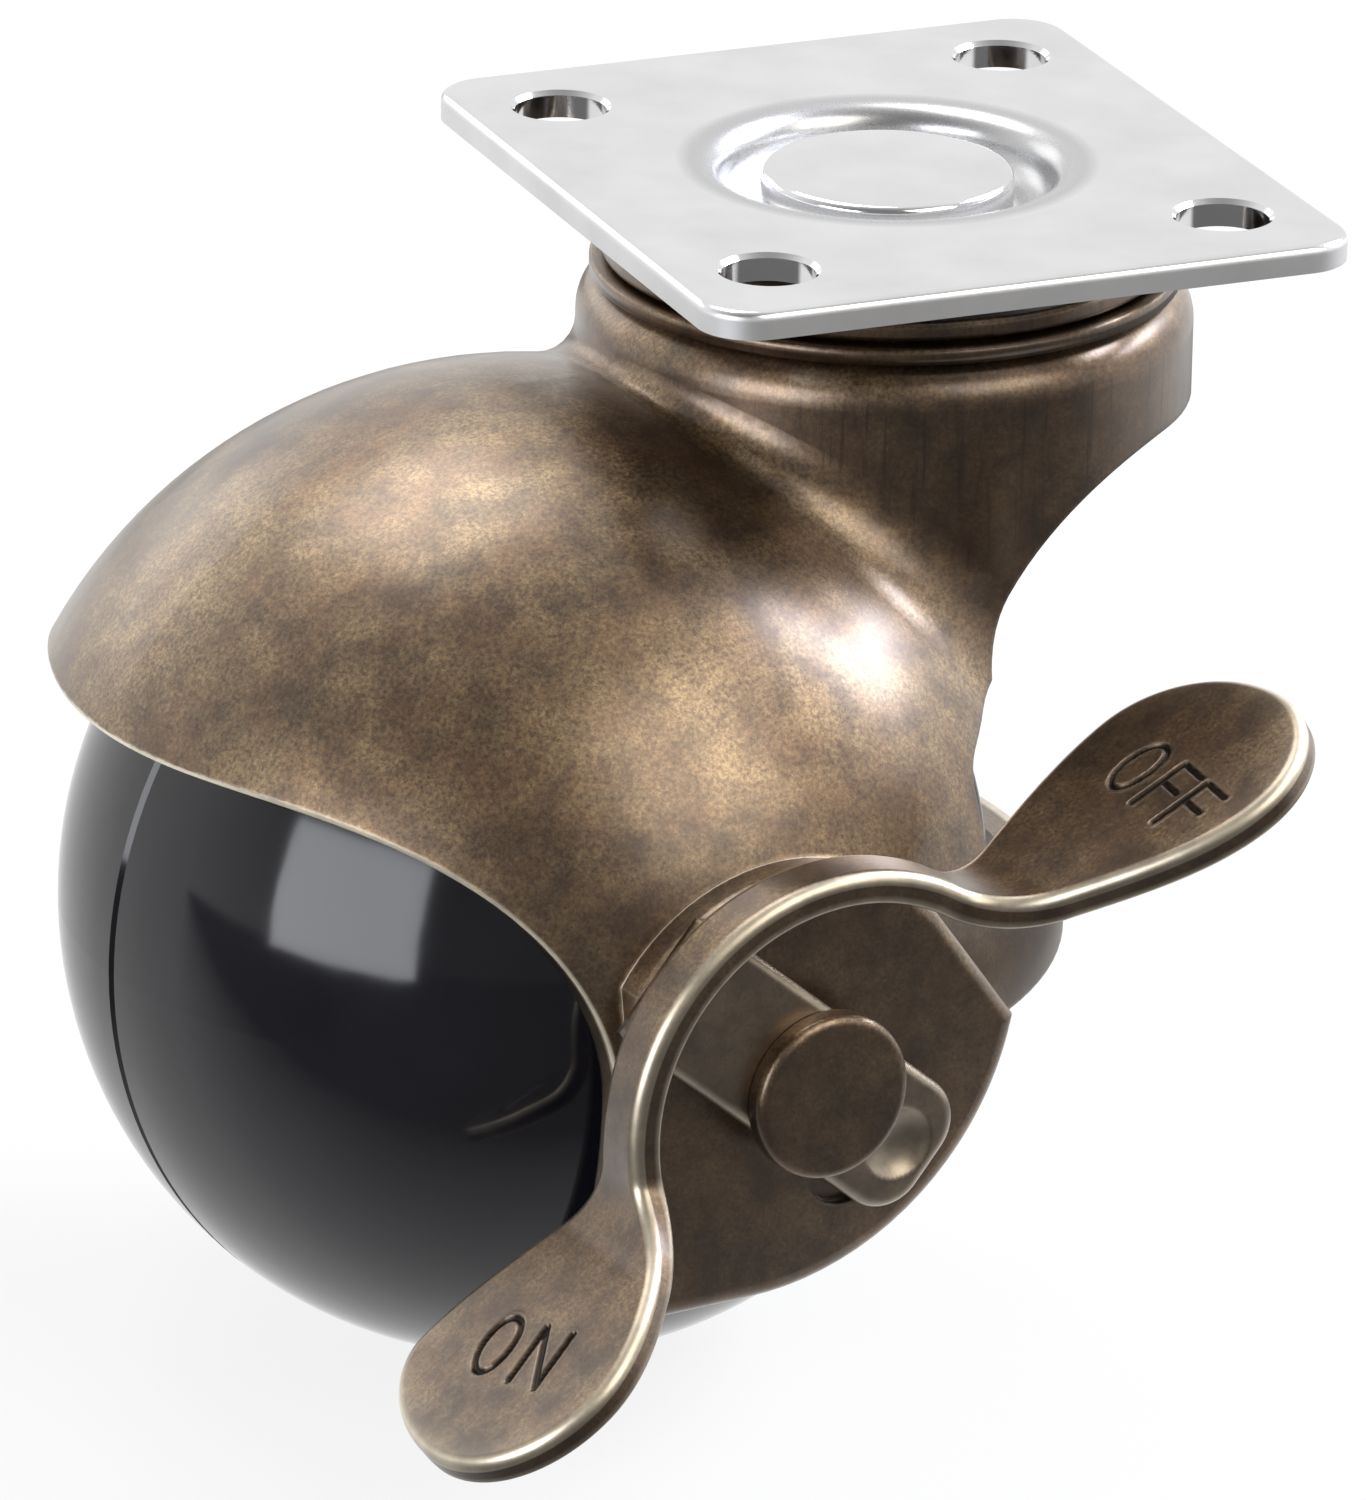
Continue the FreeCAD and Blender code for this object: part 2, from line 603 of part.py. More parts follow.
def make_brake_plunger():
    """A pin with a round head, so that the lever's dimple slides off it evenly."""
    ahead, above = polar(dimple_offset, dimple_angle)
    under_head = plunger_top - plunger_head
    shank = on_axle(plunger_radius, ball_pole + brake_gap + rubber_thickness, under_head, ahead, above)
    head = Part.makeSphere(plunger_crown, side(ahead, above, plunger_top - plunger_crown), V(0, 1, 0))
    head = head.common(on_axle(plunger_crown, under_head, plunger_top, ahead, above))
    return shank.fuse(head).removeSplitter()


def make_brake_pad():
    ahead, above = polar(dimple_offset, dimple_angle)
    pad_tip = ball_pole + brake_gap
    return on_axle(plunger_radius, pad_tip, pad_tip + rubber_thickness, ahead, above)


def make_plunger_spring():
    """A dished disc spring between the seat in the cheek and the plunger's head."""
    ahead, above = polar(dimple_offset, dimple_angle)
    seat = boss_face + spring_seat
    inner = plunger_radius + running
    outer = plunger_head_radius
    height = plunger_top - plunger_head - seat
    section = Part.Face(Part.makePolygon([
        side(ahead + inner, above, seat + height - spring_sheet),
        side(ahead + outer, above, seat),
        side(ahead + outer, above, seat + spring_sheet),
        side(ahead + inner, above, seat + height),
        side(ahead + inner, above, seat + height - spring_sheet)]))
    return section.revolve(side(ahead, above), V(0, 1, 0), 360)


fixed = {
    "top_plate": make_top_plate(),
    "king_pin": make_king_pin(),
    "swivel_collar": make_swivel_collar(),
    "lower_race_washer": make_lower_race_washer(),
    "upper_balls": ball_ring(upper_circle, upper_ball_height, upper_count),
    "lower_balls": ball_ring(lower_circle, lower_ball_height, lower_count),
}

bush_end = ball_pole + bush_stand
bush_start = bush_end - bush_length
swivelling = {
    "hood": make_hood(),
    "axle": make_axle(),
    "near_washer": axle_ring(washer_radius, axle_radius, bush_end + end_float, boss_face),
    "far_washer": axle_ring(washer_radius, axle_radius, -boss_face, -bush_end - end_float),
    "lever_washer": axle_ring(lever_washer_radius, axle_radius, pad_face, pad_face + lever_washer_thickness),
    "ball_half_near": make_ball_half(1),
    "ball_half_far": make_ball_half(-1),
    "bush_near": axle_ring(bush_radius, axle_radius + running, bush_start, bush_end),
    "bush_far": axle_ring(bush_radius, axle_radius + running, -bush_end, -bush_start),
    "hub_tube": axle_ring(bush_radius, axle_radius + 2 * running, -bush_start, bush_start),
    "brake_lever": make_brake_lever(),
    "brake_plunger": make_brake_plunger(),
    "brake_pad": make_brake_pad(),
    "plunger_spring": make_plunger_spring(),
}
for shape in swivelling.values():
    shape.rotate(V(0, 0, 0), V(0, 0, 1), rest_heading)

os.makedirs("parts", exist_ok=True)
for name, shape in {**fixed, **swivelling}.items():
    shape.exportStep("parts/" + name + ".step")
    print(name, shape.isValid(), len(shape.Solids), round(shape.Volume, 1))
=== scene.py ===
import json
from math import pi, radians

import bmesh
import bpy
import numpy as np
from mathutils import Matrix, Vector


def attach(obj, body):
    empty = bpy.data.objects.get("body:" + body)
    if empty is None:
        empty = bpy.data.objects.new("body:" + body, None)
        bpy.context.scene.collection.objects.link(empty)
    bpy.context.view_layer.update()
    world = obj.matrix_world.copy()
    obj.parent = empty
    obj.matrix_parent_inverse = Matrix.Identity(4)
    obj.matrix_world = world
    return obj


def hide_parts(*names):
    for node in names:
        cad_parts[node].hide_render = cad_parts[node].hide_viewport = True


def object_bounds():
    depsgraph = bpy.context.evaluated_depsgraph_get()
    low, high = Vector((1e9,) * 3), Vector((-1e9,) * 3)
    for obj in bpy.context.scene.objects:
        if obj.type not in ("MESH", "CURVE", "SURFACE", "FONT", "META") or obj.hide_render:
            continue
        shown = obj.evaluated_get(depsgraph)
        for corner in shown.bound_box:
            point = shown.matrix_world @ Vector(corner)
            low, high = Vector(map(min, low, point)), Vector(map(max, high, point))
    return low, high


# The castor's frame: the plate screws up under a piece of furniture, the hood trails from the king pin,
# and the axle lies across the hood. The hood's own directions follow the axle's joint.
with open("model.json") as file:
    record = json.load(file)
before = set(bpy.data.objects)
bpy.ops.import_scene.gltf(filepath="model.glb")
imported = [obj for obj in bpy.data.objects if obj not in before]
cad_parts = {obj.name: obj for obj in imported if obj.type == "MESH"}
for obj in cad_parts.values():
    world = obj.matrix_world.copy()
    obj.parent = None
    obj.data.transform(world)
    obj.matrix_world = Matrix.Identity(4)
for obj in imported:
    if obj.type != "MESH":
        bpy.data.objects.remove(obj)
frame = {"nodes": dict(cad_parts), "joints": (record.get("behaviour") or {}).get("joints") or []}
cad_low, cad_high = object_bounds()
joints = {joint["name"]: joint for joint in frame["joints"]}
axle = np.array(joints["ball_spin"]["pos_m"])
along = np.array(joints["ball_spin"]["axis"])
above = np.array((0.0, 0.0, 1.0))
ahead = np.cross(along, above)
mm = 0.001

# Top plate and king pin: a stamped steel plate with a pressed recess, and the rivet headed over in it.
# Both are bright nickel plated, nearly smooth, with a faint grain from the sheet.
nickel_colour = (0.76, 0.76, 0.765, 1)
nickel_shade = (0.68, 0.68, 0.685, 1)
# Darker nickel that paints shade into the drawn recess round the rivet.
nickel_recess_shade = (0.52, 0.52, 0.525, 1)
drawn_radius = 10.6 * mm
rivet_radius = 6.9 * mm
drawn_matt = 0.17
sheared_matt = 0.4


def add_node(tree, kind, inputs, **settings):
    """One shader node with its settings; each input is a value or another node's output."""
    node = tree.nodes.new(kind)
    for name, value in settings.items():
        setattr(node, name, value)
    for name, value in inputs.items():
        if isinstance(value, bpy.types.NodeSocket):
            tree.links.new(value, node.inputs[name])
        else:
            node.inputs[name].default_value = value
    return node


def new_material(name):
    """An empty node material with its shader, and the piece's own coordinates for the patterns."""
    material = bpy.data.materials.new(name)
    material.use_nodes = True
    tree = material.node_tree
    place = tree.nodes.new("ShaderNodeTexCoord").outputs["Object"]
    return material, tree, tree.nodes["Principled BSDF"], place


def noise(tree, place, size, detail=2.0, roughness=0.5):
    """Cloudy noise between 0 and 1, with features of about the given size."""
    return add_node(tree, "ShaderNodeTexNoise", {
        "Vector": place, "Scale": 1 / size, "Detail": detail, "Roughness": roughness}).outputs["Fac"]


def vector_step(tree, operation, *inputs):
    """One step of vector arithmetic, as its outputs Vector and Value."""
    return add_node(tree, "ShaderNodeVectorMath", dict(enumerate(inputs)), operation=operation).outputs


def axis_parts(tree, vector):
    """The X, Y and Z parts of a vector."""
    return add_node(tree, "ShaderNodeSeparateXYZ", {"Vector": vector}).outputs


def stretched(tree, place, scale):
    """Coordinates drawn out or squeezed along the three axes."""
    return vector_step(tree, "MULTIPLY", place, scale)["Vector"]


def spread(tree, value, low, high, start=0.0, end=1.0):
    """A value taken from one range to another, held at both ends."""
    return add_node(tree, "ShaderNodeMapRange", {
        "Value": value, "From Min": low, "From Max": high, "To Min": start, "To Max": end}).outputs["Result"]


def mixed(tree, share, first, second):
    """Two colours mixed by a share between 0 and 1."""
    return add_node(tree, "ShaderNodeMix", {0: share, 6: first, 7: second}, data_type="RGBA").outputs[2]


def joined(tree, first, second, operation="ADD"):
    """Two values joined by an arithmetic step, held between 0 and 1."""
    return add_node(tree, "ShaderNodeMath", {0: first, 1: second}, operation=operation,
                    use_clamp=True).outputs["Value"]


def bumped(tree, shader, height, depth, normal=None):
    """A fine relief of the given depth under the shader."""
    inputs = {"Height": height, "Distance": depth, "Strength": 1.0}
    if normal:
        inputs["Normal"] = normal
    relief = add_node(tree, "ShaderNodeBump", inputs)
    tree.links.new(relief.outputs["Normal"], shader.inputs["Normal"])


def dress(names, material):
    """One finish on each of the named solids."""
    for name in names:
        solid = frame["nodes"][name]
        solid.data.materials.clear()
        solid.data.materials.append(material)


def sheared_side(tree, place):
    """One on the plate's sheared sides: upright, and close to its half length or width."""
    half = frame["nodes"]["top_plate"].dimensions / 2
    share = vector_step(tree, "ABSOLUTE", stretched(tree, place, (1 / half.x, 1 / half.y, 0)))["Vector"]
    share = axis_parts(tree, share)
    border = spread(tree, joined(tree, share["X"], share["Y"], "MAXIMUM"), 0.93, 0.94)
    normal = tree.nodes.new("ShaderNodeTexCoord").outputs["Normal"]
    upright = spread(tree, axis_parts(tree, normal)["Z"], 0.3, 0.7, 1, 0)
    return joined(tree, upright, border, "MULTIPLY")


def bright_nickel():
    """Smooth nickel, but matt in the drawn recess round the swivel axis and on the sheared sides; the recess
    is also darkened as painted shade.
    """
    material, tree, shader, place = new_material("bright_nickel")
    cloud = noise(tree, place, 6 * mm, 3)
    grain = noise(tree, place, 0.12 * mm, 3)
    radius = vector_step(tree, "LENGTH", stretched(tree, place, (1, 1, 0)))["Value"]
    drawn = joined(tree, spread(tree, radius, drawn_radius, drawn_radius + 0.8 * mm, 1, 0),
                   spread(tree, radius, rivet_radius, rivet_radius + 0.3 * mm), "MULTIPLY")
    base = mixed(tree, spread(tree, cloud, 0.35, 0.7), nickel_colour, nickel_shade)
    # The drawn share darkens the recess here as painted shade; below it also makes the recess matt.
    tree.links.new(mixed(tree, drawn, base, nickel_recess_shade), shader.inputs["Base Color"])
    matt = joined(tree, sheared_side(tree, place), sheared_matt, "MULTIPLY")
    matt = joined(tree, joined(tree, drawn, drawn_matt, "MULTIPLY"), matt)
    matt = joined(tree, matt, spread(tree, grain, 0.3, 0.7, 0.09, 0.15))
    tree.links.new(matt, shader.inputs["Roughness"])
    shader.inputs["Metallic"].default_value = 1.0
    bumped(tree, shader, grain, 0.002 * mm)
    return material


dress(["top_plate", "king_pin"], bright_nickel())

# Swivel: a plated collar under the plate, and steel balls in grooves above and below the hood's web.
# The steel is left plain, with a film of grease that dulls it in patches.
steel_colour = (0.52, 0.52, 0.53, 1)
steel_film = (0.36, 0.35, 0.33, 1)


def plain_steel():
    """Grey metal, darker and duller where the cloudy film lies."""
    material, tree, shader, place = new_material("plain_steel")
    film = noise(tree, place, 2 * mm, 4)
    tree.links.new(mixed(tree, spread(tree, film, 0.4, 0.65), steel_colour, steel_film),
                   shader.inputs["Base Color"])
    tree.links.new(spread(tree, film, 0.3, 0.7, 0.22, 0.42), shader.inputs["Roughness"])
    shader.inputs["Metallic"].default_value = 1.0
    bumped(tree, shader, noise(tree, place, 0.1 * mm), 0.002 * mm)
    return material


steel = plain_steel()
dress(["upper_balls", "lower_balls", "lower_race_washer"], steel)

# Hood: one die casting of zinc, a dome over the ball that runs up into the neck, with flat cheeks.
# It is plated, blackened and rubbed back, so gold shows through as specks and along the dome's edges; the pale
# gold on the edges is also a painted highlight.
# The axle is a plated rivet through both cheeks, and the collar on the neck has the same finish.
stamp_dark = (0.016, 0.010, 0.007, 1)
patina_dark = (0.050, 0.028, 0.016, 1)
patina_brown = (0.165, 0.096, 0.049, 1)
patina_gold = (0.56, 0.40, 0.20, 1)
patina_copper = (0.36, 0.21, 0.10, 1)
# Pale gold of the rubbed edges, lightened further as a painted highlight.
worn_gold_and_highlight = (0.90, 0.80, 0.62, 1)
streak_low = -27 * mm
streak_high = -20 * mm
edge_reach = 0.4 * mm
lacquer = 0.9
stamp_lacquer = 0.1
dome_radius = 29.0 * mm
hood_bare = 0.22


def kept_share(tree, name):
    """A share that the mesh keeps on its points."""
    return add_node(tree, "ShaderNodeAttribute", {}, attribute_name=name).outputs["Fac"]


def turned_edge(tree, place):
    """One on the dome's outer edges, where the surface near its radius turns away from the round."""
    normal = tree.nodes.new("ShaderNodeTexCoord").outputs["Normal"]
    out = vector_step(tree, "SUBTRACT", place, Vector(axle))["Vector"]
    distance = vector_step(tree, "LENGTH", out)["Value"]
    facing = vector_step(tree, "DOT_PRODUCT", vector_step(tree, "NORMALIZE", out)["Vector"], normal)["Value"]
    band = joined(tree, spread(tree, distance, dome_radius - 0.6 * mm, dome_radius - 0.35 * mm),
                  spread(tree, distance, dome_radius + 0.03 * mm, dome_radius + 0.06 * mm, 1, 0), "MULTIPLY")
    return joined(tree, spread(tree, facing, 0.985, 0.9), band, "MULTIPLY")


def antique_brass(name, bare, own_wear=False):
    """Dark patina with a fine rubbed grain under lacquer; the edges are rubbed to pale gold, lightened further
    as a painted highlight.

    The bare share adds gold specks everywhere, more of them on what faces up. The pale edge, part wear and
    part painted highlight, is the turn between the rounded and the true normal, or a share that the mesh
    keeps, as it then does for its stamping.
    """
    material, tree, shader, place = new_material(name)
    cloud = noise(tree, place, 12 * mm, 3)
    blotch = noise(tree, place, 2.4 * mm, 4, 0.6)
    grain = noise(tree, place, 0.25 * mm, 5, 0.75)
    speck = noise(tree, place, 0.12 * mm, 2)
    streak = noise(tree, stretched(tree, place, (1, 1, 0.04)), 0.3 * mm, 3)
    mottle = noise(tree, place, 4.5 * mm, 5, 0.65)
    upward = axis_parts(tree, tree.nodes.new("ShaderNodeTexCoord").outputs["Normal"])["Z"]
    height = axis_parts(tree, place)["Z"]
    rubbed = joined(tree, spread(tree, cloud, 0.3, 0.7, 0.0, 0.35),
                    spread(tree, blotch, 0.36, 0.64, 0.0, 0.5))
    base = mixed(tree, rubbed, patina_dark, patina_brown)
    bared = joined(tree, joined(tree, rubbed, bare), spread(tree, upward, 0.0, 0.55, 0.3, 1.0), "MULTIPLY")
    flecks = joined(tree, spread(tree, grain, 0.37, 0.73), bared, "MULTIPLY")
    gold = mixed(tree, spread(tree, mottle, 0.42, 0.62), patina_gold, patina_copper)
    base = mixed(tree, flecks, base, gold)
    base = mixed(tree, spread(tree, speck, 0.5, 0.72, 0.0, 0.5), base, patina_dark)
    lines = joined(tree, spread(tree, streak, 0.58, 0.66, 0.0, 0.6),
                   spread(tree, upward, 0.1, 0.3, 1, 0), "MULTIPLY")
    lines = joined(tree, lines, spread(tree, height, streak_low, streak_high), "MULTIPLY")
    base = mixed(tree, lines, base, patina_dark)
    shader.inputs["Coat Weight"].default_value = lacquer
    if own_wear:
        # The kept share holds the lever's edge wear together with a painted highlight on its rounded edges.
        edge, rounded, stamp = kept_share(tree, "wear_and_highlight"), None, kept_share(tree, "stamp")
        base = mixed(tree, stamp, base, stamp_dark)
        tree.links.new(spread(tree, stamp, 0, 1, lacquer, stamp_lacquer), shader.inputs["Coat Weight"])
    else:
        rounded = add_node(tree, "ShaderNodeBevel", {"Radius": edge_reach}, samples=6).outputs["Normal"]
        true = tree.nodes.new("ShaderNodeNewGeometry").outputs["Normal"]
        facing = vector_step(tree, "DOT_PRODUCT", rounded, true)["Value"]
        turned = spread(tree, facing, 0.985, 0.86, 0.0, 0.15)
        edge = joined(tree, turned, turned_edge(tree, place), "MAXIMUM")
    # Edges and rim: real wear and a painted highlight, both laid on in pale gold.
    wear_and_highlight = joined(tree, edge, spread(tree, blotch, 0.2, 0.6, 0.5, 0.9), "MULTIPLY")
    tree.links.new(mixed(tree, wear_and_highlight, base, worn_gold_and_highlight), shader.inputs["Base Color"])
    tree.links.new(spread(tree, grain, 0.3, 0.7, 0.34, 0.44), shader.inputs["Roughness"])
    shader.inputs["Metallic"].default_value = 1.0
    shader.inputs["Coat IOR"].default_value = 1.65
    shader.inputs["Coat Roughness"].default_value = 0.28
    bumped(tree, shader, grain, 0.004 * mm, rounded)
    return material


hood_finish = antique_brass("antique_brass", hood_bare)
dress(["hood", "swivel_collar", "axle"], hood_finish)

# Race lip: a thin raised ring on the hood's neck that keeps dirt out of the swivel's balls.
# It is turned on the casting, under the collar and just clear of it.
lip_inner = 13.6 * mm
lip_outer = 15.9 * mm
lip_height = 0.85 * mm
lip_round = 0.3 * mm
neck_top = -6.1 * mm


def turned_ring(profile, count):
    """A closed profile of radius and height carried round the swivel axis, as points and quads."""
    angle = np.linspace(0, 2 * pi, count, endpoint=False)[:, None]
    radius, height = profile[:, 0], profile[:, 1]
    points = np.stack([radius * np.cos(angle), radius * np.sin(angle), height + 0 * angle], -1)
    width = len(profile)
    row, column = np.meshgrid(np.arange(count), np.arange(width), indexing="ij")
    this, after, next_column = row * width, (row + 1) % count * width, (column + 1) % width
    quads = np.stack([this + column, after + column, after + next_column, this + next_column], -1)
    return points.reshape(-1, 3), quads.reshape(-1, 4)


def lip_profile():
    """A rectangle with two rounded upper corners."""
    turn = np.linspace(0, pi / 2, 7)
    top = neck_top + lip_height - lip_round
    outer = np.stack([lip_outer - lip_round + lip_round * np.cos(turn), top + lip_round * np.sin(turn)], -1)
    inner = np.stack([lip_inner + lip_round - lip_round * np.sin(turn), top + lip_round * np.cos(turn)], -1)
    foot = np.array([[lip_inner, neck_top], [lip_outer, neck_top]])
    return np.concatenate([outer, inner, foot])


lip_points, lip_quads = turned_ring(lip_profile(), 256)
lip_mesh = bpy.data.meshes.new("race_lip")
lip_mesh.from_pydata(lip_points, [], lip_quads.tolist())
lip_mesh.shade_smooth()
race_lip = bpy.data.objects.new("race_lip", lip_mesh)
bpy.context.scene.collection.objects.link(race_lip)
race_lip.data.materials.append(hood_finish)
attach(race_lip, "hood")

# Ball: two glossy black mouldings that meet at a seam round the middle, on bushes and a tube at the hub.
# The black has a faint blue cast and the slight waviness of a moulded surface.
ball_black = (0.004, 0.004, 0.006, 1)
ball_haze = (0.007, 0.007, 0.010, 1)
nylon_pale = (0.80, 0.78, 0.72, 1)
nylon_shade = (0.72, 0.70, 0.63, 1)


def black_moulding():
    """Glossy black plastic, with a faint cloudy haze and a shallow waviness."""
    material, tree, shader, place = new_material("black_moulding")
    haze = noise(tree, place, 9 * mm, 3)
    tree.links.new(mixed(tree, spread(tree, haze, 0.35, 0.7), ball_black, ball_haze),
                   shader.inputs["Base Color"])
    tree.links.new(spread(tree, haze, 0.3, 0.7, 0.07, 0.12), shader.inputs["Roughness"])
    bumped(tree, shader, noise(tree, place, 3 * mm, 1), 0.01 * mm)
    return material


dress(["ball_half_near", "ball_half_far"], black_moulding())


def natural_nylon():
    """Milky plastic in two close tones."""
    material, tree, shader, place = new_material("natural_nylon")
    cloud = noise(tree, place, 3 * mm, 2)
    tree.links.new(mixed(tree, cloud, nylon_pale, nylon_shade), shader.inputs["Base Color"])
    tree.links.new(spread(tree, cloud, 0.3, 0.7, 0.45, 0.55), shader.inputs["Roughness"])
    return material


dress(["bush_near", "bush_far"], natural_nylon())
dress(["hub_tube", "near_washer", "far_washer", "lever_washer"], steel)

# Brake lever: a steel strip, stamped and bent into an arch over the axle with a spoon paddle at each end.
# It is plated like the hood, its edges are rounded by tumbling, and the paddles are stamped ON and OFF.
# A flat spoke carries it on the axle, with a dimple in its tail that pushes the brake's plunger.
sheet = 1.7 * mm
edge_round = 0.65 * mm
under_round = 0.25 * mm
tip_fade = 0.9 * mm
strip_half = 1.7 * mm
strip_middle = 32.1 * mm
arch_radius = 11.9 * mm
bend_radius = 5.0 * mm
on_leave, on_direction = radians(-8), radians(-38)
off_leave, off_direction = radians(122), radians(150)
on_paddle = {"start": (-5.0, -9.0), "power": (0.7, 1.0), "widest": (6.3, 8.9), "width": (9.1, 5.5),
             "tip": 13.6, "tip_side": 2.0}
off_paddle = {"start": (-5.0, -9.0), "power": (0.8, 1.0), "widest": (10.0, 9.4), "width": (9.4, 5.4),
              "tip": 16.2, "tip_side": 2.7}
on_turn = on_direction + pi / 2 - on_leave
off_turn = off_leave + pi / 2 - off_direction

stamp_depth = 0.2 * mm
burr_height = 0.02 * mm
stroke_half = 0.22 * mm
letter_height = 3.5 * mm
letter_width = 2.05 * mm
on_word = {"letters": "ON", "starts": np.array([-1.72, 1.72]) * mm, "turn": radians(13),
           "middle": (1.7 * mm, 6.5 * mm), "span": (3.4 * mm, 10.0 * mm), "tip": 4.0 * mm, "rows": (16, 74)}
off_word = {"letters": "OFF", "starts": np.array([-3.03, 0.24, 2.79]) * mm, "turn": radians(-6.5),
            "middle": (3.06 * mm, 8.0 * mm), "span": (5.0 * mm, 11.2 * mm), "tip": 5.0 * mm, "rows": (22, 66)}
tip_rows, bend_rows = 40, 90
strip_columns, strip_under_columns, wall_columns = 130, 22, 4
lever_bare = 0.06
# The edge weight carries both wear and a painted highlight on the rounded corner.
edge_wear_and_highlight, tip_wear, burr_wear, under_wear = 0.8, 0.4, 0.06, 0.45

runs = np.array([on_paddle["tip"] * mm, bend_radius * on_turn, arch_radius * (off_leave - on_leave),
                 bend_radius * off_turn, off_paddle["tip"] * mm])
curvatures = np.array([0, -1 / bend_radius, 1 / arch_radius, -1 / bend_radius, 0])
run_starts = np.concatenate([[0], np.cumsum(runs)])


def strip_path(distance):
    """Place and heading along the strip's middle, in the side view.

    Each run has a constant curvature, so its heading grows evenly with the distance gone in it, and its
    place is the closed form of a straight line or an arc. The arch is centred on the axle.
    """
    heading = np.full_like(distance, on_direction + pi)
    place = np.zeros(distance.shape + (2,))
    start_heading = on_direction + pi
    for start, run, curvature in zip(run_starts, runs, curvatures):
        gone = np.clip(distance - start, 0, run)
        turned = start_heading + curvature * gone
        if curvature:
            forward = np.sin(turned) - np.sin(start_heading)
            rise = np.cos(start_heading) - np.cos(turned)
            place += np.stack([forward, rise], -1) / curvature
        else:
            place += gone[..., None] * np.array([np.cos(start_heading), np.sin(start_heading)])
        heading += curvature * gone
        start_heading += curvature * run
    return place, heading


def paddle_edge(past_bend, paddle, side):
    """Distance from the strip's middle to its near (0) or far (1) edge: straight, a flank, a quarter ellipse.

    The flank rises by a smooth step of a power of the share of the way from its start to the widest place.
    """
    start, widest, width = (paddle[key][side] * mm for key in ("start", "widest", "width"))
    tip_side = (1, -1)[side] * paddle["tip_side"] * mm
    share = np.clip((past_bend - start) / (widest - start), 0, 1) ** paddle["power"][side]
    flank = strip_half + (width - strip_half) * share ** 2 * (3 - 2 * share)
    reach = np.clip((past_bend - widest) / (paddle["tip"] * mm - widest), 0, 1)
    return np.where(past_bend < widest, flank, tip_side + (width - tip_side) * np.sqrt(1 - reach ** 2))


def edge_inset(distance, past_bend, outward, edge, paddle, side):
    """Distance inside one edge, square to it.

    On the flank the sideways distance is corrected for the slope. On the tip it is the ellipse's value over
    its gradient.
    """
    widest, width = paddle["widest"][side] * mm, paddle["width"][side] * mm
    tip_side = (1, -1)[side] * paddle["tip_side"] * mm
    long, wide = paddle["tip"] * mm - widest, width - tip_side
    slope = np.gradient(edge, distance)[:, None]
    flank = (edge[:, None] - outward) / np.sqrt(1 + slope ** 2)
    x, y = np.clip(past_bend[:, None] - widest, 1e-9, None), np.clip(outward - tip_side, 0, None)
    reach = np.hypot(x / long, y / wide)
    round_tip = (1 - reach) * reach / np.hypot(x / long ** 2, y / wide ** 2)
    return np.where(past_bend[:, None] < widest, flank, round_tip)


def segment_distance(x, y, start, end):
    """Distance from each point to a straight stroke."""
    start, end = np.array(start), np.array(end)
    run = end - start
    share = np.clip(((x - start[0]) * run[0] + (y - start[1]) * run[1]) / (run @ run), 0, 1)
    return np.hypot(x - start[0] - share * run[0], y - start[1] - share * run[1])


def letter_distance(letter, x, y):
    """Distance from each point to the strokes of a capital letter centred on the origin."""
    w, h = letter_width / 2, letter_height / 2
    if letter == "O":
        reach = np.hypot(x / w, y / h)
        slope = np.hypot(x / w ** 2, y / h ** 2) / np.maximum(reach, 0.1)
        return np.abs(reach - 1) / np.maximum(slope, 1 / h)
    long_arm, short_arm, middle = 0.85 * w, 0.65 * w, 0.14 * h
    strokes = {"N": [((-w, -h), (-w, h)), ((-w, h), (w, -h)), ((w, -h), (w, h))],
               "F": [((-w, -h), (-w, h)), ((-w, h), (long_arm, h)), ((-w, middle), (short_arm, middle))]}
    return np.min([segment_distance(x, y, *stroke) for stroke in strokes[letter]], axis=0)


def stroke_distance(word, across, upward):
    """Distance from each point of a paddle to the nearest stroke of its word, which is turned a little."""
    cos, sin = np.cos(word["turn"]), np.sin(word["turn"])
    x, y = across * cos + upward * sin, upward * cos - across * sin
    return np.min([letter_distance(letter, x - start, y)
                   for letter, start in zip(word["letters"], word["starts"])], axis=0)


def grid_object(name, points, faces, shares):
    """A closed mesh from points and quads, with shares kept on its points, doubles merged, shaded smooth."""
    mesh = bpy.data.meshes.new(name)
    mesh.from_pydata(points, [], faces)
    for share, values in shares.items():
        mesh.attributes.new(share, "FLOAT", "POINT").data.foreach_set("value", values.astype(np.float32))
    work = bmesh.new()
    work.from_mesh(mesh)
    bmesh.ops.remove_doubles(work, verts=work.verts, dist=1e-7)
    bmesh.ops.dissolve_degenerate(work, edges=work.edges, dist=1e-8)
    bmesh.ops.recalc_face_normals(work, faces=work.faces)
    work.to_mesh(mesh)
    work.free()
    mesh.shade_smooth()
    piece = bpy.data.objects.new(name, mesh)
    bpy.context.scene.collection.objects.link(piece)
    return piece


def ring_quads(rows, columns):
    """The quads of a grid of rows whose columns close on themselves."""
    row, column = np.meshgrid(np.arange(rows - 1), np.arange(columns), indexing="ij")
    this, next_row, after = row * columns, (row + 1) * columns, (column + 1) % columns
    quads = np.stack([this + column, this + after, next_row + after, next_row + column], -1)
    return quads.reshape(-1, 4)


def in_row_frame(forward, height, sideways):
    """Points from the axle: forward, up and along it, in the row's frame."""
    return axle + forward[..., None] * ahead + height[..., None] * above + sideways[..., None] * along


def half_sheet(inset, face):
    """Half the sheet at a distance inside the outline: a quarter round, larger on the outer face, then all."""
    rounding = np.where(face > 0, edge_round, under_round)
    drop = np.clip(rounding - inset, 0, rounding)
    return sheet / 2 - rounding + np.sqrt(rounding ** 2 - drop ** 2)


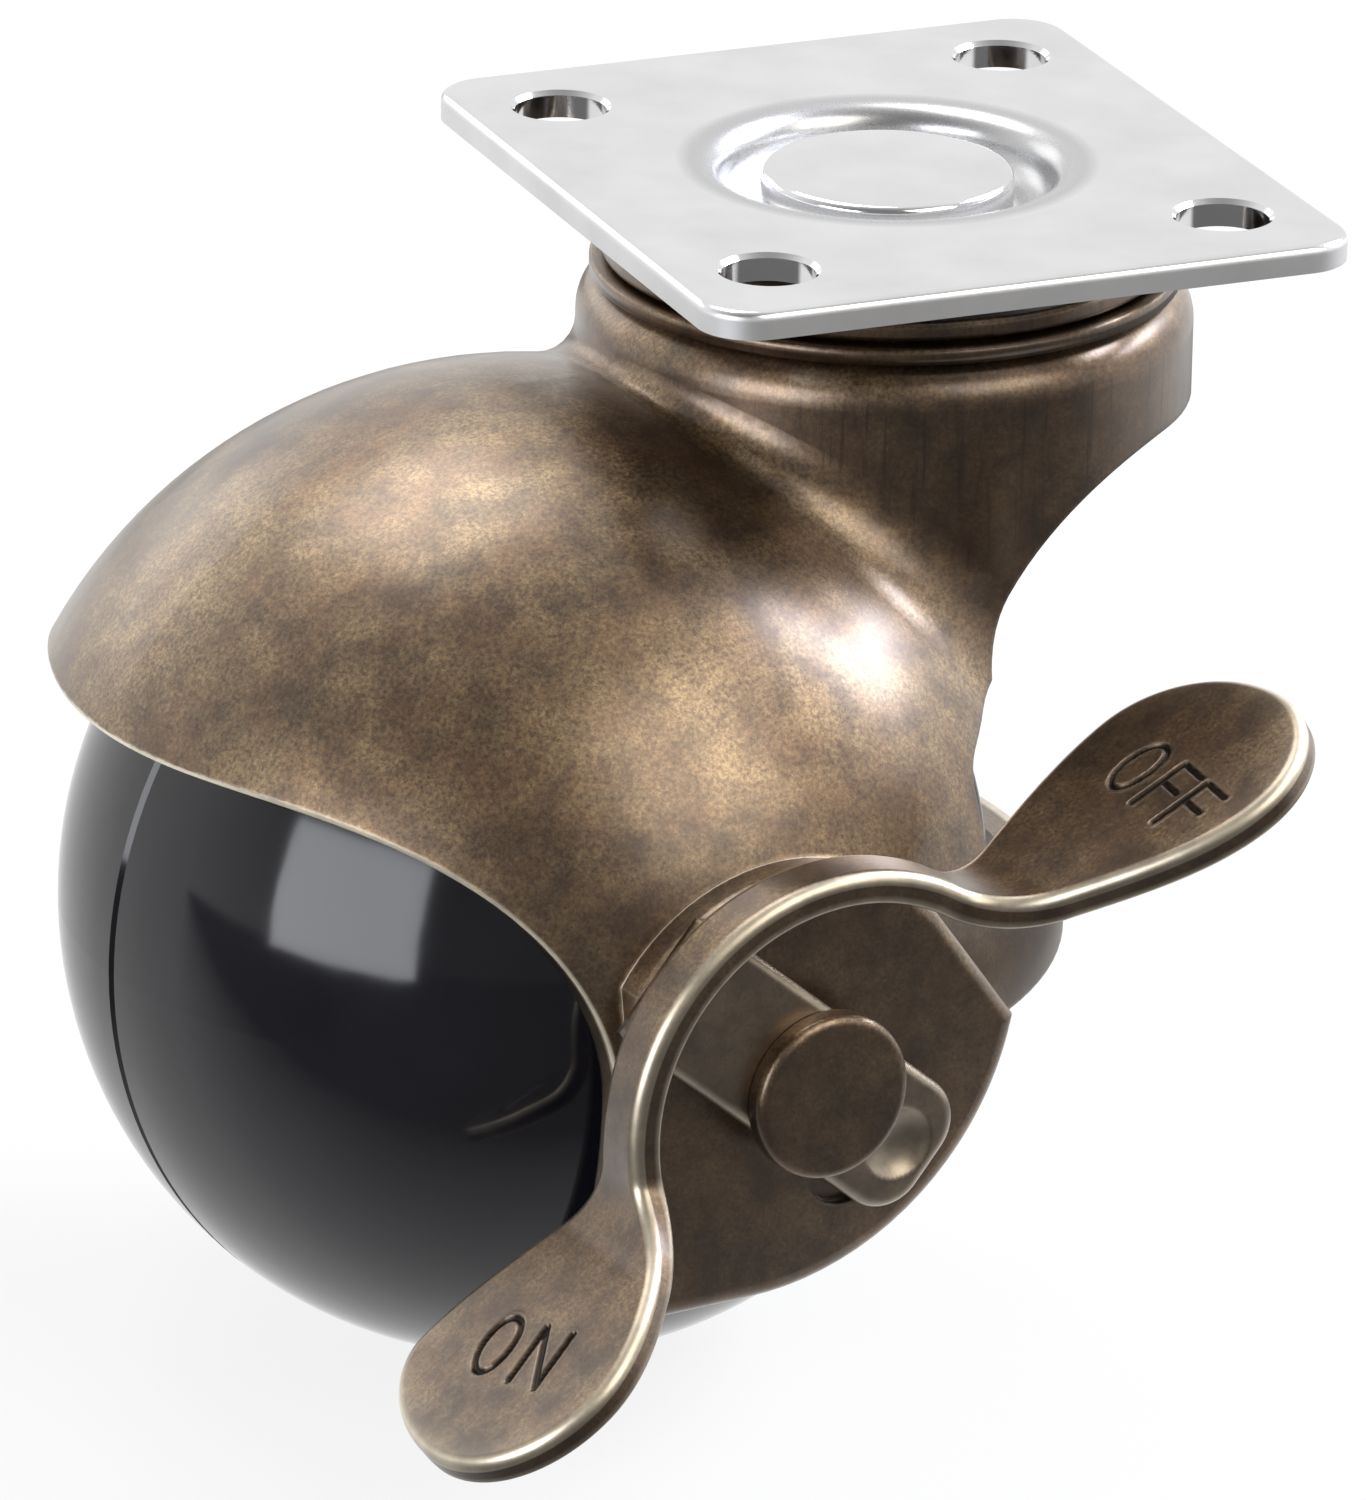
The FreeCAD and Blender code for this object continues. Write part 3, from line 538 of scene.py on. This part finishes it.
def across_face(low, high, middle_count):
    """Columns from one edge to the other: close together in the rounded edges, even between them."""
    width = high - low
    step = np.minimum(edge_round, width / 3)[:, None] * (1 - np.cos(np.linspace(0, pi / 2, 9)))
    left, right = low[:, None] + step, high[:, None] - step[:, ::-1]
    share = np.linspace(0, 1, middle_count + 2)[1:-1]
    return np.concatenate([left, left[:, -1:] + (right[:, :1] - left[:, -1:]) * share, right], axis=1)


def section_columns(low, high, outer_count, under_count):
    """Columns round the section: over the outer face, down one wall, back under the sheet and up the other.

    With them goes each column's face, from 1 on the outer face to -1 on the under face.
    """
    outer, under = across_face(low, high, outer_count), across_face(low, high, under_count)[:, ::-1]
    wall, down = np.ones(wall_columns), np.linspace(1, -1, wall_columns + 2)[1:-1]
    columns = np.concatenate([outer, high[:, None] * wall, under, low[:, None] * wall], axis=1)
    return columns, np.concatenate([np.ones(outer.shape[1]), down, -np.ones(under.shape[1]), -down])


def wear_and_highlight_share(inset, face):
    """How far the plating is rubbed through, with a painted highlight: most on the rounded corner of the outer
    face.
    """
    corner = np.clip(1.1 - np.abs(inset - 0.3 * edge_round) / (0.5 * edge_round), 0, 1)
    under = under_wear * np.clip(1 - inset / under_round, 0, 1)
    return np.where(face > 0.99, corner, np.where(face < -0.99, under, 0))


def paddle_rows(word, paddle_length):
    """Distances past the bend: even up to the lettering, closer in it, and closest toward the tip."""
    low, high = word["span"]
    tip = word["tip"] * (1 - np.cos(np.linspace(0, pi / 2, tip_rows)))
    return np.concatenate([np.linspace(0, low, word["rows"][0]), np.linspace(low, high, word["rows"][1]),
                           paddle_length - tip])


def lever_strip():
    """The bent strip as a grid: rows along it, columns round its section.

    The two edges of the outline are set out from the strip's middle. The thickness falls by a quarter round
    near the outline. The strokes of the letters are grooves with a hollow section and a low burr beside them.
    """
    distance = np.concatenate([runs[0] - paddle_rows(on_word, runs[0]),
                               np.linspace(run_starts[1], run_starts[4], bend_rows),
                               run_starts[4] + paddle_rows(off_word, runs[4])])
    distance = np.unique(distance.round(9))

    place, heading = strip_path(distance)
    place += arch_radius * np.array([np.cos(on_leave), np.sin(on_leave)]) - strip_path(run_starts[2:3])[0]
    on_side = distance < (run_starts[2] + run_starts[3]) / 2
    past_bend = np.where(on_side, runs[0] - distance, distance - run_starts[4])
    paddles = on_paddle, off_paddle
    near, far = [np.where(on_side, *(paddle_edge(past_bend, paddle, side) for paddle in paddles))
                 for side in (0, 1)]
    sideways, face = section_columns(-far, near, strip_columns, strip_under_columns)

    on_inset, off_inset = [np.minimum(edge_inset(distance, past_bend, sideways, near, paddle, 0),
                                      edge_inset(distance, past_bend, -sideways, far, paddle, 1))
                           for paddle in paddles]
    inset = np.clip(np.where(on_side[:, None], on_inset, off_inset), 0, None)
    (on_x, on_y), (off_x, off_y) = on_word["middle"], off_word["middle"]
    reach = np.where(on_side[:, None], stroke_distance(on_word, sideways - on_x, on_y - past_bend[:, None]),
                     stroke_distance(off_word, sideways - off_x, past_bend[:, None] - off_y)) / stroke_half
    groove = np.clip(1 - reach ** 2, 0, 1) * (face > 0.99)
    burr = np.exp(-((reach - 1.35) / 0.4) ** 2) * (face > 0.99)
    lift = face * half_sheet(inset, face) - groove * stamp_depth + burr * burr_height
    outward = np.stack([np.sin(heading), -np.cos(heading)], -1)
    side_place = place[:, None, :] + lift[..., None] * outward[:, None, :]
    points = in_row_frame(side_place[..., 0], side_place[..., 1], strip_middle + sideways)
    toward_tip = np.clip(past_bend / np.where(on_side, runs[0], runs[4]), 0, 1)[:, None]
    tip_share = toward_tip ** 2 * np.exp(-inset / tip_fade) * (face > 0.99)
    # The corner band is wear and a painted highlight along the rounded edge.
    wear_and_highlight = np.clip(edge_wear_and_highlight * wear_and_highlight_share(inset, face) + tip_wear * tip_share + burr_wear * burr, 0, 1)
    return points.reshape(-1, 3), ring_quads(*lift.shape), wear_and_highlight.ravel(), np.clip(2 * groove, 0, 1).ravel()


spoke_inner = 29.65 * mm
spoke_angle = radians(40.0)
spoke_half = 3.75 * mm
tail_end = 8.8 * mm
tail_corner = 2.6 * mm
hub_bore = 3.08 * mm
dimple_offset = 6.0 * mm
dimple_radius = 2.0 * mm
dimple_depth = 0.75 * mm
spoke_rows, spoke_columns, spoke_under_columns = 241, 28, 14
spoke_edge_wear_and_highlight, spoke_face_wear, dimple_wear = 0.2, 0.14, 0.15


def lever_spoke():
    """The flat spoke and tail as a grid round the axle: rows by angle, columns round the section.

    The outline's distance from the axle is that of the nearer of the straight flanks, the arch and the tail's
    end with its round corners. The dimple is a spherical cap pressed from the outside into both faces.
    """
    angle = np.linspace(0, 2 * pi, spoke_rows)
    cos, sin = np.cos(angle), np.sin(angle)
    flank = spoke_half / np.maximum(np.abs(sin), 1e-6)
    end = np.where(cos > 0, arch_radius, tail_end) / np.maximum(np.abs(cos), 1e-6)
    square = np.minimum(flank, end)
    corner_x, corner_y = tail_corner - tail_end, spoke_half - tail_corner
    middle = corner_x * cos + corner_y * np.abs(sin)
    swing = corner_x ** 2 + corner_y ** 2 - middle ** 2
    round_corner = middle + np.sqrt(np.clip(tail_corner ** 2 - swing, 0, None))
    at_corner = (square * cos < corner_x) & (square * np.abs(sin) > corner_y)
    outline = np.where(at_corner, round_corner, square)
    bore = np.full_like(outline, hub_bore)
    radius, face = section_columns(bore, outline, spoke_columns, spoke_under_columns)
    x, y = radius * cos[:, None], radius * sin[:, None]
    past_x, past_y = corner_x - x, np.abs(y) - corner_y
    beyond = np.hypot(np.clip(past_x, 0, None), np.clip(past_y, 0, None))
    inset = np.clip(tail_corner - beyond - np.minimum(np.maximum(past_x, past_y), 0), 0, None)
    from_dimple = np.hypot(x + dimple_offset, y)
    press = (dimple_radius ** 2 + dimple_depth ** 2) / (2 * dimple_depth)
    pressed = np.sqrt(np.clip(press ** 2 - from_dimple ** 2, 0, None)) - press + dimple_depth
    sideways = spoke_inner + sheet / 2 + face * half_sheet(inset, face) - np.clip(pressed, 0, None)
    forward = x * np.cos(spoke_angle) - y * np.sin(spoke_angle)
    height = x * np.sin(spoke_angle) + y * np.cos(spoke_angle)
    points = in_row_frame(forward, height, sideways)
    # The spoke's edge band is likewise wear and a painted highlight.
    wear_and_highlight = spoke_edge_wear_and_highlight * wear_and_highlight_share(inset, face) + spoke_face_wear * (face > 0.99)
    wear_and_highlight = np.clip(wear_and_highlight + dimple_wear * (from_dimple < dimple_radius) * (face > 0), 0, 1)
    return points.reshape(-1, 3), ring_quads(*sideways.shape), wear_and_highlight.ravel(), np.zeros(wear_and_highlight.size)


parts = [lever_strip(), lever_spoke()]
lever = grid_object("lever_plate", np.concatenate([part[0] for part in parts]),
                    np.concatenate([parts[0][1], parts[1][1] + len(parts[0][0])]).tolist(),
                    {"wear_and_highlight": np.concatenate([part[2] for part in parts]),
                     "stamp": np.concatenate([part[3] for part in parts])})
lever.data.materials.append(antique_brass("antique_brass_lever", lever_bare, own_wear=True))
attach(lever, "lever")
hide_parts("brake_lever")

# Brake plunger: a steel pin with a rubber pad that the lever's dimple presses on the ball's pole.
# A dished spring washer under its head lifts it off again.
rubber_dark = (0.03, 0.03, 0.03, 1)
rubber_bloom = (0.06, 0.06, 0.058, 1)


def pad_rubber():
    """Dull black rubber with a cloudy grey bloom."""
    material, tree, shader, place = new_material("pad_rubber")
    bloom = noise(tree, place, 1 * mm, 3)
    tree.links.new(mixed(tree, bloom, rubber_dark, rubber_bloom), shader.inputs["Base Color"])
    tree.links.new(spread(tree, bloom, 0.3, 0.7, 0.6, 0.75), shader.inputs["Roughness"])
    return material


dress(["brake_plunger", "plunger_spring"], steel)
dress(["brake_pad"], pad_rubber())

# Studio: a white floor that the ball stands on and a white surround, with soft boxes as windows.
# To the eye both are white. The castor mirrors them white too, but for a dark room on the camera's side;
# in reflections the floor carries painted shade toward the camera and in a strip behind the hood.
view_direction = Vector((0.3609, 0.8598, 0.3613)).normalized()
floor_half = 4.0
floor_tone = (0.86, 0.86, 0.86, 1)
floor_glow = 0.85
dark_room = 0.25
# Darkest level of the painted shade that the floor shows in reflections.
floor_painted_shade = 0.18
fill_light = 0.3
glow_end, dark_start = 15 * mm, 50 * mm
shade_strip_near, shade_strip_far = 35 * mm, 185 * mm
room_bright, room_dark = 0.0, 0.8

floor_mesh = bpy.data.meshes.new("floor")
floor_mesh.from_pydata([(x * floor_half, y * floor_half, cad_low.z)
                        for x, y in ((-1, -1), (1, -1), (1, 1), (-1, 1))], [], [(0, 1, 2, 3)])
floor = bpy.data.objects.new("floor", floor_mesh)
bpy.context.scene.collection.objects.link(floor)


def seen_light(tree, fill, measure, bright, dark, darkest):
    """Light that a surface sends: white to the eye, and in reflections falling to the darkest level.

    The fall runs from a bright to a dark value of the given measure. Rays that only light the castor get
    the fill.
    """
    path = tree.nodes.new("ShaderNodeLightPath").outputs
    mirror = joined(tree, path["Is Glossy Ray"], path["Is Transmission Ray"])
    shade = spread(tree, measure, bright, dark, 1.0, darkest)
    level = add_node(tree, "ShaderNodeMix", {0: mirror, 2: fill, 3: shade}).outputs[0]
    return joined(tree, level, path["Is Camera Ray"], "MAXIMUM"), mirror, path["Is Camera Ray"]


floor_paint = bpy.data.materials.new("floor_paint")
floor_paint.use_nodes = True
tree = floor_paint.node_tree
tree.nodes["Principled BSDF"].inputs["Base Color"].default_value = floor_tone
tree.nodes["Principled BSDF"].inputs["Roughness"].default_value = 0.9
spot = tree.nodes.new("ShaderNodeNewGeometry").outputs["Position"]
from_ball = vector_step(tree, "SUBTRACT", spot, Vector(axle))["Vector"]
toward_eye = vector_step(tree, "DOT_PRODUCT", from_ball, Vector((*view_direction.xy.normalized(), 0)))["Value"]
behind = vector_step(tree, "DOT_PRODUCT", from_ball, Vector(-ahead))["Value"]
# Painted shade on the floor, seen only in reflections: darker toward the camera and in a strip behind the
# hood.
past = joined(tree, joined(tree, behind, shade_strip_near, "SUBTRACT"),
              joined(tree, shade_strip_far, behind, "SUBTRACT"), "MINIMUM")
past = joined(tree, past, toward_eye, "MAXIMUM")
level, mirror, eye = seen_light(tree, 0.0, past, glow_end, dark_start, floor_painted_shade)
glow = add_node(tree, "ShaderNodeEmission", {"Color": (1, 1, 1, 1), "Strength": level})
blend = add_node(tree, "ShaderNodeMixShader", {
    0: joined(tree, joined(tree, eye, floor_glow, "MULTIPLY"), mirror),
    1: tree.nodes["Principled BSDF"].outputs["BSDF"], 2: glow.outputs["Emission"]})
tree.links.new(blend.outputs["Shader"], tree.nodes["Material Output"].inputs["Surface"])
floor.data.materials.append(floor_paint)

world = bpy.data.worlds.new("surround")
bpy.context.scene.world = world
world.use_nodes = True
tree = world.node_tree
surround = tree.nodes["Background"]
surround.inputs["Color"].default_value = (1, 1, 1, 1)
sky = tree.nodes.new("ShaderNodeTexCoord").outputs["Generated"]
to_camera = vector_step(tree, "DOT_PRODUCT", sky, view_direction)["Value"]
level = seen_light(tree, fill_light, to_camera, room_bright, room_dark, dark_room)[0]
tree.links.new(level, surround.inputs["Strength"])


def soft_box(name, toward, distance, width, height, power, tint=(1, 1, 1)):
    """A rectangular lamp in a direction from the ball, facing it."""
    lamp = bpy.data.lights.new(name, "AREA")
    lamp.shape = "RECTANGLE"
    lamp.size, lamp.size_y, lamp.energy, lamp.color = width, height, power, tint
    box = bpy.data.objects.new(name, lamp)
    direction = Vector(toward[0] * ahead + toward[1] * along + toward[2] * above).normalized()
    box.matrix_world = (Matrix.Translation(Vector(axle) + direction * distance)
                        @ direction.to_track_quat("Z", "Y").to_matrix().to_4x4())
    box.visible_camera = False
    bpy.context.scene.collection.objects.link(box)


soft_box("front_window", (0.95, 0.27, 0.15), 0.8, 0.55, 0.55, 5.2, (0.93, 0.95, 1))
soft_box("rear_window", (-0.80, 0.02, 0.60), 0.8, 0.38, 0.38, 7.0, (0.84, 0.88, 1))
soft_box("overhead", (0.02, -0.45, 0.89), 0.9, 0.45, 0.5, 2.5)
soft_box("low_back", (0.20, -0.91, 0.36), 0.8, 0.45, 0.3, 0.45)
soft_box("camera_side", (-0.24, 0.72, 0.65), 0.8, 0.5, 0.5, 2.4, (1, 0.95, 0.88))

# Camera: a long lens from the hood's lever side, a little above the plate, as the photograph was taken.
lens = 290.5
view_distance = 650 * mm
aim_right = 8.55 * mm
aim_up = 7.59 * mm
roll = radians(0.92)

camera_data = bpy.data.cameras.new("camera")
camera_data.sensor_width = 36
camera_data.lens = lens
camera_data.clip_start = 0.01
camera = bpy.data.objects.new("camera", camera_data)
bpy.context.scene.collection.objects.link(camera)
turn = view_direction.to_track_quat("Z", "Y").to_matrix().to_4x4() @ Matrix.Rotation(roll, 4, "Z")
aim = turn @ Vector((aim_right, aim_up, 0))
camera.matrix_world = Matrix.Translation(Vector(axle) + aim + view_direction * view_distance) @ turn
bpy.context.scene.camera = camera
bpy.context.scene.view_settings.view_transform = "Standard"
